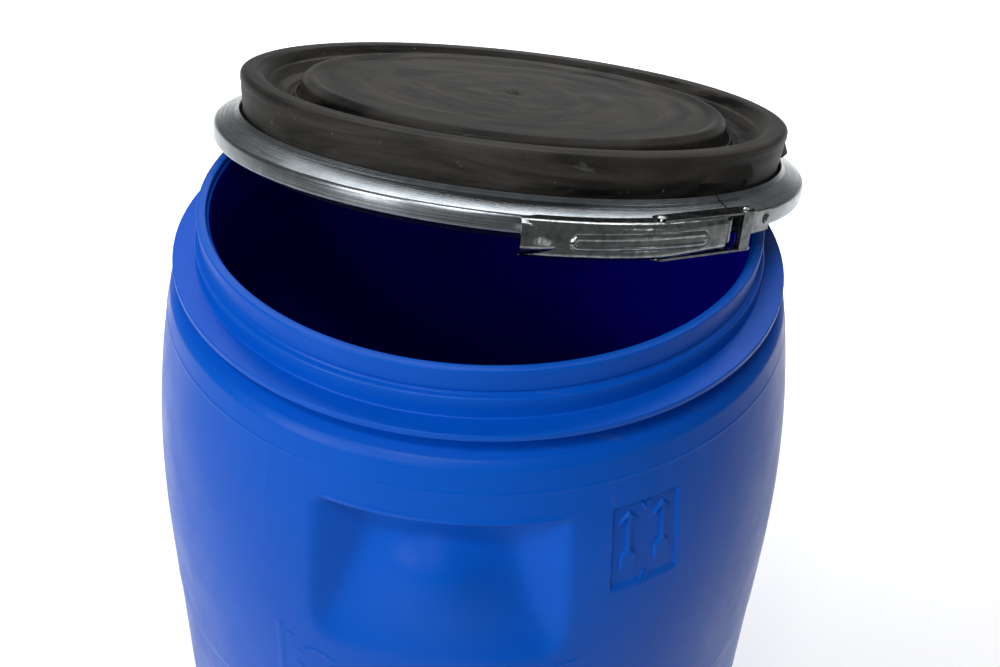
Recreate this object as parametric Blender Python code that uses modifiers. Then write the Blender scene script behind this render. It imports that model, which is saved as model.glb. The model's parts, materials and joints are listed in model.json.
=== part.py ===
"""Plastic open head drum: a blow-moulded body, a push-on lid and a lever-lock clamp ring.

The drum stands on the floor with its axis on Z. The lid and the ring lie tilted on the mouth,
shifted back, so both are built in the lid's own frame and placed by one empty.
"""

import math

import bmesh
import bpy
from mathutils import Vector

# Driving dimensions, in metres and radians.
DRUM_HEIGHT = 0.790
MOUTH_RADIUS = 0.1925
RIM_RADIUS = 0.2004
NECK_RADIUS = 0.2035
FLANGE_RADIUS = 0.2200
FLANGE_TOP = DRUM_HEIGHT - 0.0339
FLANGE_THICKNESS = 0.0042
BODY_RADIUS = 0.2471
SHOULDER_RADIUS = 0.2241
SHOULDER_TOP = DRUM_HEIGHT - 0.0578
SHOULDER_HEIGHT = 0.212
FOOT_RADIUS = 0.2360
FOOT_HEIGHT = 0.190
TAPER_POWER = 2.2
WALL = 0.0040
BASE_THICKNESS = 0.0060
BASE_RECESS = 0.0040
BASE_PAD_RADIUS = 0.035

RECESS_AZIMUTH = math.radians(-94.5)
RECESS_TOP = DRUM_HEIGHT - 0.0955
RECESS_HEIGHT = 0.122
RECESS_FLOOR = 0.2120
RECESS_HALF_WIDTH = 0.052
RECESS_RUN_OUT = 0.2410
RECESS_FLARE = 0.80
RECESS_LOW_HALF_WIDTH = 0.0860

LID_TILT = math.radians(16.33)
LID_LEAN = math.radians(77.5)
LID_PLACE = (0.0202, 0.0899, DRUM_HEIGHT + 0.0084)
SKIRT_RADIUS = 0.2042
LID_TOP = 0.0306
LID_BEAD_RADIUS = 0.2185
LID_BEAD_BOTTOM = -0.0167
LID_WALL = 0.0030
DISC_TOP = 0.0272
DISC_UNDERSIDE = 0.0222
LUG_AZIMUTHS = [math.radians(degrees) for degrees in (-47.0, -9.0, 130.0)]

RING_INNER = 0.2079
RING_OUTER = 0.2235
RING_HEIGHT = 0.0260
RING_LEG_DROP = 0.0072
RING_SHEET = 0.0015
RING_GAP = 0.0290

CLOSURE_AZIMUTH = math.radians(-51.05)
CLOSURE_LEVEL = -0.0155
PIN_RADIUS = 0.0020
PIN_LINE = 0.2265
PIN_SPACING = 0.0200
CRANK = 0.0550
OVER_CENTRE = math.radians(5.0)
LEVER_CURVE = 0.2150
LEVER_CENTRE = (0.0183, -0.0194)
LEVER_START = math.radians(-36.0)
LEVER_END = math.radians(1.0)
LEVER_DEPTH = 0.0115
LEVER_HEIGHT = 0.0210
LEVER_SHEET = 0.0014
LINK_HEIGHT = 0.0262
LINK_SHEET = 0.0014
LINK_HALF_WIDTH = 0.0062
HINGE_TAIL_START = 0.0215
HINGE_TAIL_TRIM = 0.0035
NOTCH_ANGLE = math.radians(139.4)
GAP = 0.0003
CUTTER_MARGIN = 0.0200

ROUND_STEPS = 60
TAU = 2 * math.pi


def clear_scene():
    for old in list(bpy.data.objects):
        bpy.data.objects.remove(old, do_unlink=True)


def new_collection(name):
    made = bpy.data.collections.new(name)
    bpy.context.scene.collection.children.link(made)
    return made


def plain_material(name, colour, roughness, metallic=0.0):
    made = bpy.data.materials.new(name)
    made.use_nodes = True
    shader = made.node_tree.nodes["Principled BSDF"]
    shader.inputs["Base Color"].default_value = (*colour, 1.0)
    shader.inputs["Roughness"].default_value = roughness
    shader.inputs["Metallic"].default_value = metallic
    return made


def empty(name, place=(0, 0, 0), parent=None, turn=0.0):
    made = bpy.data.objects.new(name, None)
    parts.objects.link(made)
    made.parent = parent
    made.location = place
    made.rotation_euler = (0, 0, turn)
    return made


def add_object(name, mesh, frame=None, finish=None, place=(0, 0, 0), turn=0.0):
    """A part when it has a finish, a hidden cutter when it has none."""
    made = bpy.data.objects.new(name, mesh)
    made.parent = frame
    made.location = place
    made.rotation_euler = (0, 0, turn)
    if finish:
        parts.objects.link(made)
        made.data.materials.append(finish)
    else:
        cutters.objects.link(made)
        made.hide_render = True
        made.display_type = "WIRE"
    return made


def arc(centre, radius, start, end, steps):
    """Points along an arc, both ends included."""
    angles = [start + (end - start) * step / steps for step in range(steps + 1)]
    return [(centre[0] + radius * math.cos(a), centre[1] + radius * math.sin(a)) for a in angles]


def rounded(corners, steps=3, closed=True):
    """An outline from (x, y, fillet radius) corners."""
    points = []
    last = len(corners) - 1
    for index, (x, y, radius) in enumerate(corners):
        here = Vector((x, y))
        if radius == 0 or (not closed and index in (0, last)):
            points.append((x, y))
            continue
        before = (Vector(corners[index - 1][:2]) - here).normalized()
        after = (Vector(corners[(index + 1) % len(corners)][:2]) - here).normalized()
        half = before.angle(after) / 2
        centre = here + (before + after).normalized() * radius / math.sin(half)
        start = (here + before * radius / math.tan(half) - centre).normalized()
        end = (here + after * radius / math.tan(half) - centre).normalized()
        for step in range(steps + 1):
            point = centre + radius * start.slerp(end, step / steps)
            points.append((point.x, point.y))
    return points


def profile_mesh(name, outline, closed):
    """The outline as edges in the XZ plane, ready for a Screw modifier."""
    count = len(outline)
    edges = [(index, index + 1) for index in range(count - 1)]
    if closed:
        edges.append((count - 1, 0))
    mesh = bpy.data.meshes.new(name)
    mesh.from_pydata([(x, 0, z) for x, z in outline], edges, [])
    return mesh


def screw(made, steps, sweep=TAU):
    turning = made.modifiers.new("Screw", "SCREW")
    turning.axis = "Z"
    turning.angle = sweep
    turning.steps = steps
    turning.render_steps = steps
    turning.use_smooth_shade = True
    turning.use_merge_vertices = sweep == TAU
    turning.merge_threshold = 0.00001
    return turning


def turned(name, outline, steps=ROUND_STEPS, closed=True, **where):
    """A solid of revolution about the object's own Z axis."""
    made = add_object(name, profile_mesh(name, outline, closed), **where)
    screw(made, steps)
    return made


def turned_sheet(name, outline, sweep, start, steps, sheet, **where):
    """Sheet metal with this outer profile, swept from start through sweep about Z."""
    made = add_object(name, profile_mesh(name, outline, False), turn=start, **where)
    screw(made, steps, sweep)
    wall = made.modifiers.new("Sheet", "SOLIDIFY")
    wall.thickness = sheet
    wall.offset = -1
    wall.use_even_offset = True
    return made


def boolean(target, other, operation="DIFFERENCE"):
    joined = target.modifiers.new(f"{operation} {other.name}", "BOOLEAN")
    joined.operation = operation
    joined.object = other
    joined.solver = "EXACT"


def cylinder(name, radius, depth, steps=20, **where):
    mesh = bpy.data.meshes.new(name)
    shape = bmesh.new()
    bmesh.ops.create_cone(shape, cap_ends=True, segments=steps, radius1=radius, radius2=radius, depth=depth)
    shape.to_mesh(mesh)
    shape.free()
    mesh.shade_smooth()
    mesh.set_sharp_from_angle(angle=math.radians(40))
    return add_object(name, mesh, **where)


def box(name, low, high, **where):
    """A box between two corners, kept in the mesh so that its object stays unscaled."""
    mesh = bpy.data.meshes.new(name)
    shape = bmesh.new()
    bmesh.ops.create_cube(shape, size=1)
    for vertex in shape.verts:
        for axis in range(3):
            vertex.co[axis] = high[axis] if vertex.co[axis] > 0 else low[axis]
    shape.to_mesh(mesh)
    shape.free()
    return add_object(name, mesh, **where)


def plate(name, outline, thickness, level, **where):
    """A flat outline of (x, y) points as a plate centred on this level."""
    curve = bpy.data.curves.new(name, "CURVE")
    curve.dimensions = "2D"
    curve.fill_mode = "BOTH"
    curve.extrude = thickness / 2
    line = curve.splines.new("POLY")
    line.points.add(len(outline) - 1)
    for point, (x, y) in zip(line.points, outline):
        point.co = (x, y, 0, 1)
    line.use_cyclic_u = True
    drawn = bpy.data.objects.new(name + "_outline", curve)
    cutters.objects.link(drawn)
    graph = bpy.context.evaluated_depsgraph_get()
    mesh = bpy.data.meshes.new_from_object(drawn.evaluated_get(graph))
    bpy.data.objects.remove(drawn, do_unlink=True)
    shape = bmesh.new()
    shape.from_mesh(mesh)
    bmesh.ops.remove_doubles(shape, verts=shape.verts, dist=0.00001)
    bmesh.ops.translate(shape, verts=shape.verts, vec=(0, 0, level))
    bmesh.ops.recalc_face_normals(shape, faces=shape.faces)
    shape.to_mesh(mesh)
    shape.free()
    mesh.name = name
    return add_object(name, mesh, **where)


def body_radius(height):
    """The outer radius of the barrel: a long shoulder, a straight middle and a shorter taper to the foot."""
    if height > SHOULDER_TOP - SHOULDER_HEIGHT:
        along = (height - (SHOULDER_TOP - SHOULDER_HEIGHT)) / SHOULDER_HEIGHT
        return BODY_RADIUS - (BODY_RADIUS - SHOULDER_RADIUS) * along**TAPER_POWER
    if height < FOOT_HEIGHT:
        return BODY_RADIUS - (BODY_RADIUS - FOOT_RADIUS) * (1 - height / FOOT_HEIGHT) ** TAPER_POWER
    return BODY_RADIUS


def barrel_points(inset, shoulder_steps, foot_steps, foot_end):
    """The barrel's profile from the shoulder down to the foot, moved in by the inset."""
    points = []
    for step in range(shoulder_steps + 1):
        height = SHOULDER_TOP - SHOULDER_HEIGHT * step / shoulder_steps
        points.append((body_radius(height) - inset, height, 0))
    for step in range(foot_steps + 1):
        height = FOOT_HEIGHT + (foot_end - FOOT_HEIGHT) * step / foot_steps
        points.append((body_radius(height) - inset, height, 0))
    return points


def recess_wedge(name, grow, azimuth):
    """A hand recess: deepest under its top edge, with flared side walls and a floor that runs out downwards."""
    mesh = bpy.data.meshes.new(name)
    shape = bmesh.new()
    bmesh.ops.create_cube(shape, size=1)
    mouth = BODY_RADIUS + CUTTER_MARGIN
    for vertex in shape.verts:
        outward = vertex.co.x > 0
        side = 1 if vertex.co.y > 0 else -1
        top = vertex.co.z > 0
        run_out = RECESS_RUN_OUT - grow
        depth = mouth if outward else (RECESS_FLOOR - grow if top else run_out)
        half = RECESS_HALF_WIDTH + RECESS_FLARE * (depth - RECESS_FLOOR) + grow
        rise = 0.0065 if outward else 0.0
        height = RECESS_TOP - 0.005 + rise + grow if top else RECESS_TOP - RECESS_HEIGHT - grow
        vertex.co = (depth, side * (half if top else min(half, RECESS_LOW_HALF_WIDTH + grow)), height)
    shape.to_mesh(mesh)
    shape.free()
    made = add_object(name, mesh, turn=azimuth)
    soft = made.modifiers.new("Soft edges", "BEVEL")
    soft.width = 0.007
    soft.segments = 2
    return made


def build_drum():
    """The blow-moulded body: a barrel with a collar, a wide flange, two hand recesses and a recessed base."""
    flange_low = FLANGE_TOP - FLANGE_THICKNESS
    throat = (NECK_RADIUS + 0.002, flange_low - 0.0090)
    corners = [
        (0, DRUM_HEIGHT, 0),
        (RIM_RADIUS, DRUM_HEIGHT, 0.0015),
        (RIM_RADIUS, DRUM_HEIGHT - 0.0145, 0),
        (RIM_RADIUS - 0.0012, DRUM_HEIGHT - 0.0165, 0),
        (NECK_RADIUS - 0.0004, DRUM_HEIGHT - 0.0200, 0),
        (NECK_RADIUS, FLANGE_TOP, 0),
        (FLANGE_RADIUS, FLANGE_TOP, 0),
        (FLANGE_RADIUS, flange_low, 0),
        (NECK_RADIUS + 0.002, flange_low, 0),
        (*throat, 0),
        (0.2120, DRUM_HEIGHT - 0.0495, 0),
        (0.2190, DRUM_HEIGHT - 0.0530, 0),
    ]
    corners += barrel_points(0, 7, 4, 0.024)
    corners += [
        (FOOT_RADIUS - 0.0050, 0.0065, 0),
        (FOOT_RADIUS - 0.0170, 0, 0),
        (FOOT_RADIUS - 0.0350, 0, 0),
        (FOOT_RADIUS - 0.0420, BASE_RECESS, 0),
        (BASE_PAD_RADIUS + 0.006, BASE_RECESS, 0),
        (BASE_PAD_RADIUS, 0, 0),
        (0, 0, 0),
    ]
    made = turned("drum_body", rounded(corners, 2, closed=False), closed=False, finish=blue_plastic)

    inside = [
        (0, DRUM_HEIGHT + 0.010, 0),
        (MOUTH_RADIUS, DRUM_HEIGHT + 0.010, 0),
        (MOUTH_RADIUS, DRUM_HEIGHT - 0.0440, 0),
        (0.2120, DRUM_HEIGHT - 0.0560, 0),
    ]
    inside += barrel_points(WALL, 4, 2, 0.030)
    inside += [(FOOT_RADIUS - 0.0200, BASE_THICKNESS + BASE_RECESS, 0), (0, BASE_THICKNESS + BASE_RECESS, 0)]
    cavity = turned("cavity", rounded(inside, 2, closed=False), closed=False)
    for side in range(2):
        azimuth = RECESS_AZIMUTH + side * math.pi
        boolean(made, recess_wedge(f"recess_{side}", 0, azimuth))
        boolean(cavity, recess_wedge(f"recess_wall_{side}", WALL, azimuth))
    boolean(made, cavity)


def build_lid():
    """The lid: a crowned rim over the drum's collar, a sunk trough, a raised disc and small wedge lugs."""
    skirt_inner = SKIRT_RADIUS - LID_WALL
    outline = [
        (0, DISC_TOP),
        (0.1520, DISC_TOP),
        (0.1565, DISC_TOP + 0.0016),
        (0.1630, DISC_TOP + 0.0014),
        (0.1680, DISC_TOP - 0.0040),
        (0.1700, DISC_TOP - 0.0135),
        (0.1790, DISC_TOP - 0.0135),
        (0.1830, DISC_TOP - 0.0040),
        (0.1890, LID_TOP - 0.0010),
        (0.1930, LID_TOP),
        (SKIRT_RADIUS - 0.0030, LID_TOP),
        (SKIRT_RADIUS, LID_TOP - 0.0040),
        (SKIRT_RADIUS, LID_TOP - 0.0100),
        (SKIRT_RADIUS - 0.0012, 0.0005),
        (LID_BEAD_RADIUS - 0.0010, -0.0074),
        (LID_BEAD_RADIUS, -0.0085),
        (LID_BEAD_RADIUS, LID_BEAD_BOTTOM),
        (0.2070, LID_BEAD_BOTTOM),
        (0.2047, -0.0045),
        (skirt_inner, -0.0020),
        (skirt_inner, 0.0212),
        (0.1912, 0.0212),
        (0.1886, 0.0120),
        (0.1850, 0.0100),
        (0.1680, 0.0100),
        (0.1620, DISC_UNDERSIDE),
        (0, DISC_UNDERSIDE),
    ]
    made = turned("lid_shell", outline, closed=False, frame=lid_axis, finish=black_plastic)
    for index, azimuth in enumerate(LUG_AZIMUTHS):
        boolean(made, lid_lug(f"lug_{index}", azimuth), "UNION")


def lid_lug(name, azimuth):
    """A wedge under the crown that snaps over the ring: flat underneath, sloping out from the skirt above."""
    made = box(name, (0.2010, -0.0300, 0.0080), (0.2085, 0.0300, 0.0150), frame=lid_axis, turn=azimuth)
    for vertex in made.data.vertices:
        if vertex.co.x > 0.205 and vertex.co.z > 0.010:
            vertex.co.x = 0.2030
    return made


def build_gasket():
    outline = [(0.2003, 0.0208), (0.2003, 0.0184), (0.1930, 0.0184), (0.1930, 0.0208)]
    turned("lid_gasket", outline, frame=lid_axis, finish=rubber)


def build_ring():
    """The clamp ring: a band of sheet steel in a wide V, in two halves that meet at the back."""
    outline = rounded(
        [
            (RING_INNER, 0, 0),
            (RING_OUTER, -RING_LEG_DROP, 0.0012),
            (RING_OUTER, RING_LEG_DROP - RING_HEIGHT, 0.0012),
            (RING_INNER, -RING_HEIGHT, 0),
        ],
        1,
        closed=False,
    )
    front = math.asin(RING_GAP / 2 / RING_OUTER)
    back = math.pi - math.asin(GAP / RING_OUTER)
    halves = {"clamp_ring_left": -back, "clamp_ring_right": front}
    holes = {"clamp_ring_left": left_rivets, "clamp_ring_right": right_rivets}
    for name, start in halves.items():
        frame = ring_hinge if name.endswith("left") else ring_hinge_right
        made = turned_sheet(
            name, outline, back - front, start, 32, RING_SHEET,
            frame=frame, place=(RING_OUTER, 0, 0), finish=galvanised_steel,
        )
        for index, angle in enumerate(holes[name]):
            boolean(made, rivet_hole(f"{name}_hole_{index}", angle, frame))


def rivet_hole(name, angle, frame):
    made = cylinder(name, PIN_RADIUS + GAP, 0.020, 12, frame=frame)
    across = Vector((math.cos(angle), math.sin(angle), 0))
    made.location = across * RING_OUTER + Vector((RING_OUTER, 0, -RING_HEIGHT / 2))
    made.rotation_euler = (0, math.pi / 2, angle)
    return made


def rivet(name, angle, frame):
    """A domed rivet through a bracket and the ring's wall, its axis along the radius."""
    head = rounded([(0, 0.0017, 0), (0.0022, 0.0015, 0), (0.0036, 0.0003, 0)], closed=False)
    shank = [(0.0036, 0), (PIN_RADIUS, 0), (PIN_RADIUS, -0.0043), (0.0030, -0.0043), (0.0030, -0.0049), (0, -0.0049)]
    across = Vector((math.cos(angle), math.sin(angle), 0))
    seat = RING_OUTER + GAP + RING_SHEET + GAP
    made = turned(name, head + shank, 16, closed=False, frame=frame, finish=bright_steel)
    made.location = across * seat + Vector((RING_OUTER, 0, -RING_HEIGHT / 2))
    made.rotation_euler = (0, math.pi / 2, angle)


def bracket_band(name, start, end, low, high, frame, finish=None):
    """A strip of sheet bent round the ring's wall between two angles."""
    radius = RING_OUTER + GAP + RING_SHEET
    outline = [(radius, high), (radius, low)]
    return turned_sheet(
        name, outline, end - start, start, 6, RING_SHEET,
        frame=frame, place=(RING_OUTER, 0, 0), finish=finish,
    )


def eye(name, spot, low, high, frame, finish=None, radius=0.0036):
    """A rolled eye round a pin, as a thick tube."""
    bore = PIN_RADIUS + GAP
    outline = [(radius, high), (radius, low), (bore, low), (bore, high)]
    return turned(name, outline, 20, frame=frame, place=spot, finish=finish)


def build_lever_bracket():
    """Sheet riveted to the left ring end, rolled into an eye round the lever's pivot."""
    low = CLOSURE_LEVEL - 0.0060
    high = CLOSURE_LEVEL + 0.0070
    end = -math.asin(0.0146 / RING_OUTER)
    made = bracket_band("lever_bracket", left_rivets[0] - 0.022, end, low, high, ring_hinge, bright_steel)
    rolled = eye("lever_eye", (PIN_LINE + RING_OUTER, -PIN_SPACING / 2, 0), low, high, ring_hinge)
    neck_low = (RING_OUTER + PIN_LINE - 0.0034, -0.0168, low)
    neck_high = (RING_OUTER + PIN_LINE - 0.0012, -0.0125, high)
    neck = box("lever_eye_neck", neck_low, neck_high, frame=ring_hinge)
    boolean(made, rolled, "UNION")
    boolean(made, neck, "UNION")
    for index, angle in enumerate(left_rivets):
        boolean(made, rivet_hole(f"lever_bracket_hole_{index}", angle, ring_hinge))


def build_hinge_bracket():
    """Sheet riveted to the right ring end, tall at its eye and narrow at its tail."""
    low = CLOSURE_LEVEL - 0.0090
    high = CLOSURE_LEVEL + 0.0090
    start = math.asin(0.0146 / RING_OUTER)
    made = bracket_band("hinge_bracket", start, right_rivets[0] + 0.022, low, high, ring_hinge_right, bright_steel)
    rolled = eye("hinge_eye", (PIN_LINE + RING_OUTER, PIN_SPACING / 2, 0), low, high, ring_hinge_right)
    neck_low = (RING_OUTER + PIN_LINE - 0.0034, 0.0125, low)
    neck_high = (RING_OUTER + PIN_LINE - 0.0012, 0.0168, high)
    neck = box("hinge_eye_neck", neck_low, neck_high, frame=ring_hinge_right)
    boolean(made, rolled, "UNION")
    boolean(made, neck, "UNION")
    waist_low = (RING_OUTER * 1.9, HINGE_TAIL_START, low - CUTTER_MARGIN)
    waist_high = (RING_OUTER * 2.1, HINGE_TAIL_START + 0.060, low + HINGE_TAIL_TRIM)
    waist = box("hinge_bracket_waist", waist_low, waist_high, frame=ring_hinge_right)
    boolean(made, waist)
    for index, angle in enumerate(right_rivets):
        boolean(made, rivet_hole(f"hinge_bracket_hole_{index}", angle, ring_hinge_right))


def pin(name, spot, half_length, rise, frame):
    """A pin with a low head of this rise at each end."""
    head = 0.0034
    shoulder = half_length + 0.2 * rise
    end = half_length + rise
    outline = [
        (0, end), (0.0020, end - 0.1 * rise), (head, shoulder), (head, half_length), (PIN_RADIUS, half_length),
        (PIN_RADIUS, -half_length), (head, -half_length), (head, -shoulder), (0.0020, 0.1 * rise - end), (0, -end),
    ]
    turned(name, outline, 20, closed=False, frame=frame, place=spot, finish=bright_steel)


def build_lever():
    """The over-centre lever: a curved channel, open towards the ring, pivoted at its right end."""
    top = CLOSURE_LEVEL + LEVER_HEIGHT / 2
    low = CLOSURE_LEVEL - LEVER_HEIGHT / 2
    outline = rounded(
        [
            (LEVER_CURVE - LEVER_DEPTH, top, 0),
            (LEVER_CURVE, top, 0.0025),
            (LEVER_CURVE, low, 0.0025),
            (LEVER_CURVE - LEVER_DEPTH, low, 0),
        ],
        2,
        closed=False,
    )
    shift = (LEVER_CENTRE[0] - PIN_LINE, LEVER_CENTRE[1] + PIN_SPACING / 2, 0)
    made = turned_sheet(
        "lever", outline, LEVER_END - LEVER_START, LEVER_START, 14, LEVER_SHEET,
        frame=lever_axis, place=shift, finish=bright_steel,
    )
    ear_end = arc((0, 0), 0.0052, 0.55 * math.pi, -0.5 * math.pi, 8)
    ear = [(-0.0014, -0.0110), (0.0060, -0.0110)] + list(reversed(ear_end))
    for name, level in (("upper", top - LEVER_SHEET / 2), ("lower", low + LEVER_SHEET / 2)):
        boolean(made, plate(f"lever_ear_{name}", ear, LEVER_SHEET, level, frame=lever_axis), "UNION")
    boolean(made, cylinder("lever_pivot_hole", PIN_RADIUS + GAP, 0.1, 16, frame=lever_axis))
    crank_hole = cylinder("lever_crank_hole", PIN_RADIUS + GAP, 0.1, 16, frame=lever_axis)
    crank_hole.location = (-CRANK * math.sin(OVER_CENTRE), -CRANK * math.cos(OVER_CENTRE), 0)
    boolean(made, crank_hole)


def build_link():
    """The tension link: two straps above and below the lever, joined by a web at the hinge pin.

    At the crank each strap has an open notch, so the strap can leave the rivet and come back to it.
    """
    top = CLOSURE_LEVEL + LINK_HEIGHT / 2
    low = CLOSURE_LEVEL - LINK_HEIGHT / 2
    crank = Vector((-CRANK * math.sin(OVER_CENTRE), -PIN_SPACING - CRANK * math.cos(OVER_CENTRE)))
    lean = math.atan2(crank.y, crank.x)
    half = LINK_HALF_WIDTH
    near = arc((0, 0), half, lean + 1.5 * math.pi, lean + 0.5 * math.pi, 8)
    far = arc(crank, half, lean + 0.5 * math.pi, lean - 0.5 * math.pi, 8)
    strap = near + far
    names = (("upper", top - LINK_SHEET / 2), ("lower", low + LINK_SHEET / 2))
    made = None
    for name, level in names:
        finish = None if made else bright_steel
        label = f"link_strap_{name}" if made else "tension_link"
        piece = plate(label, strap, LINK_SHEET, level, frame=link_axis, finish=finish)
        if made:
            boolean(made, piece, "UNION")
        made = made or piece
    web = box("link_web", (half - 0.0016, -0.0085, low + 0.0001), (half - 0.0002, 0.0010, top - 0.0001), frame=link_axis)
    boolean(made, web, "UNION")
    boolean(made, cylinder("link_hinge_hole", PIN_RADIUS + GAP, 0.1, 16, frame=link_axis))
    reach = 0.020
    width = PIN_RADIUS + 2 * GAP
    notch = box("link_notch", (0, -width, low - 0.01), (reach, width, top + 0.01), frame=link_axis)
    notch.location = (*crank, 0)
    notch.rotation_euler = (0, 0, -NOTCH_ANGLE + math.pi / 2)
    boolean(made, notch)
    boolean(made, cylinder("link_crank_hole", width, 0.1, 16, frame=link_axis, place=(*crank, 0)))


def build_link_rivets():
    """One short rivet through each lever flange, with a domed head outside the strap."""
    spot = (-CRANK * math.sin(OVER_CENTRE), -CRANK * math.cos(OVER_CENTRE))
    outside = LINK_HEIGHT / 2 + GAP
    inside = LEVER_HEIGHT / 2 - LEVER_SHEET - GAP
    outline = [
        (0, outside + 0.0018), (0.0024, outside + 0.0014), (0.0042, outside + 0.0002), (0.0042, outside),
        (PIN_RADIUS, outside), (PIN_RADIUS, inside), (0.0026, inside), (0.0026, inside - 0.0008), (0, inside - 0.0008),
    ]
    for name, side in (("upper", 0), ("lower", math.pi)):
        made = turned(f"link_rivet_{name}", outline, 16, closed=False, frame=lever_axis, finish=bright_steel)
        made.location = (*spot, CLOSURE_LEVEL)
        made.rotation_euler = (side, 0, 0)


clear_scene()
parts = new_collection("open_head_drum")
cutters = new_collection("cutters")

blue_plastic = plain_material("blue_plastic", (0.004, 0.075, 0.50), 0.38)
black_plastic = plain_material("black_plastic", (0.040, 0.039, 0.037), 0.55)
rubber = plain_material("rubber", (0.030, 0.030, 0.032), 0.80)
galvanised_steel = plain_material("galvanised_steel", (0.46, 0.48, 0.49), 0.36, 1.0)
bright_steel = plain_material("bright_steel", (0.62, 0.63, 0.64), 0.22, 1.0)

left_rivets = [-math.asin(along / RING_OUTER) for along in (0.0260, 0.0380)]
right_rivets = [math.asin(0.0385 / RING_OUTER)]

# The lid's frame, leaning back over the mouth. The closure frame is turned so that +X passes between its pins.
lid_axis = empty("lid_axis", LID_PLACE)
lid_axis.rotation_mode = "AXIS_ANGLE"
lid_axis.rotation_axis_angle = (LID_TILT, -math.sin(LID_LEAN), math.cos(LID_LEAN), 0)
closure_axis = empty("closure_axis", parent=lid_axis, turn=CLOSURE_AZIMUTH)
ring_hinge = empty("ring_hinge", (-RING_OUTER, 0, 0), closure_axis)
ring_hinge_right = empty("ring_hinge_right", (-RING_OUTER, 0, 0), closure_axis)
lever_axis = empty("lever_axis", (PIN_LINE, -PIN_SPACING / 2, 0), closure_axis)
link_axis = empty("link_axis", (PIN_LINE, PIN_SPACING / 2, 0), closure_axis)

build_drum()
build_lid()
build_gasket()
build_ring()
build_lever_bracket()
build_hinge_bracket()
for index, angle in enumerate(left_rivets):
    rivet(f"lever_bracket_rivet_{index + 1}", angle, ring_hinge)
rivet("hinge_bracket_rivet", right_rivets[0], ring_hinge_right)
pin_across = RING_OUTER + PIN_LINE
lever_spot = (pin_across, -PIN_SPACING / 2, CLOSURE_LEVEL)
pin("lever_pivot_pin", lever_spot, LEVER_HEIGHT / 2 + GAP, 0.0005, ring_hinge)
link_spot = (pin_across, PIN_SPACING / 2, CLOSURE_LEVEL)
pin("link_hinge_pin", link_spot, LINK_HEIGHT / 2 + GAP, 0.0014, ring_hinge_right)
build_lever()
build_link()
build_link_rivets()
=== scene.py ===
# %% [markdown]
# # A plastic open head drum
#
# This lesson builds the looks of a blow-moulded drum, its lid and its clamp ring around a fixed frame. The
# frame holds the designed parts, their places and their joints. Here each visible piece gets a finer
# surface and a finish of its own, and then rides on the body that moves it.

import json
import math

import bmesh
import bpy
import numpy as np
from mathutils import Matrix, Vector


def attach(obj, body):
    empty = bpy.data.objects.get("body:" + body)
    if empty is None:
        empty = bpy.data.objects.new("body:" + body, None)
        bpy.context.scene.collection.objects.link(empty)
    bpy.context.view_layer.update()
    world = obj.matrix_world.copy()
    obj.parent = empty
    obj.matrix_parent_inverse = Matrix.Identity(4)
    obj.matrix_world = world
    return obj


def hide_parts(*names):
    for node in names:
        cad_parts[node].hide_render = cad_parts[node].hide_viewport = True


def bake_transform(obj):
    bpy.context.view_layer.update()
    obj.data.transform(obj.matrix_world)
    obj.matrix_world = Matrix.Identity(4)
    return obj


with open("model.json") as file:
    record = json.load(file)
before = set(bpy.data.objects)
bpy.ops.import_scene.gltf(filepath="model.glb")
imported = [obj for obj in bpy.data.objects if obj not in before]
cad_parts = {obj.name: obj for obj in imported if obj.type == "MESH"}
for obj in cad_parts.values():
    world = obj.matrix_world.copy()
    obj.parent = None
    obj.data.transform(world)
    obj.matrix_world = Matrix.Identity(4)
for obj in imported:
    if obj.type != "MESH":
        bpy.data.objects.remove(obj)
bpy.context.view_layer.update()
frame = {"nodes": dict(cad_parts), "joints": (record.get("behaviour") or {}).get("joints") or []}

# %% [markdown]
# ## Where things are
#
# The joints say where the lid's own frame is, because the ring hinges at its back and the two pins of the
# closure lie side by side at its front. From those three points come an origin on the ring's axis and
# three directions: out through the closure, round the ring, and up along its tilted axis.

# %% The closure's frame, from the joints
joints = {joint["name"]: joint for joint in frame["joints"]}
UP = np.array(joints["lever_swing"]["axis"], float)
RING_HINGE = np.array(joints["ring_left_spread"]["pos_m"], float)
LEVER_PIN = np.array(joints["lever_swing"]["pos_m"], float)
LINK_PIN = np.array(joints["link_swing"]["pos_m"], float)
RING_OUTER = 0.2235
OUT = (LEVER_PIN + LINK_PIN) / 2 - RING_HINGE
PIN_LINE = np.linalg.norm(OUT) - RING_OUTER
OUT = OUT / np.linalg.norm(OUT)
ROUND = np.cross(UP, OUT)
LID_CENTRE = RING_HINGE + RING_OUTER * OUT
HALF_SPACING = np.linalg.norm(LINK_PIN - LEVER_PIN) / 2
print("lid centre", LID_CENTRE.round(4), "pins at", round(PIN_LINE, 4), "from the axis")


def in_lid_frame(x, y, z):
    """World points of lid-frame values: the centre plus x outwards, y round the ring and z up its axis."""
    x, y, z = np.broadcast_arrays(x, y, z)
    return LID_CENTRE + x[..., None] * OUT + y[..., None] * ROUND + z[..., None] * UP


# %% [markdown]
# ## Tools for surfaces
#
# Every piece below is a grid: a function of two parameters, worked out as whole arrays. A few short
# functions do the common work. One eases a value between two limits, one joins two surfaces with a fillet,
# one rounds the corners of a profile, and one turns a grid into a mesh.

# %% Easing and joining


def ramp(value, start, end):
    """0 before start, 1 after end, and the smooth curve 3t^2 - 2t^3 between them."""
    t = np.clip((value - start) / (end - start), 0, 1)
    return t * t * (3 - 2 * t)


def soft_max(a, b, blend):
    """The larger of two surfaces, with a fillet: half of a + b + sqrt((a - b)^2 + blend^2)."""
    return (a + b + np.sqrt((a - b) ** 2 + blend**2)) / 2


def soft_min(a, b, blend):
    """The smaller of two surfaces, with a fillet."""
    return -soft_max(-a, -b, blend)


NEARLY_STRAIGHT = 1.55


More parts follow.
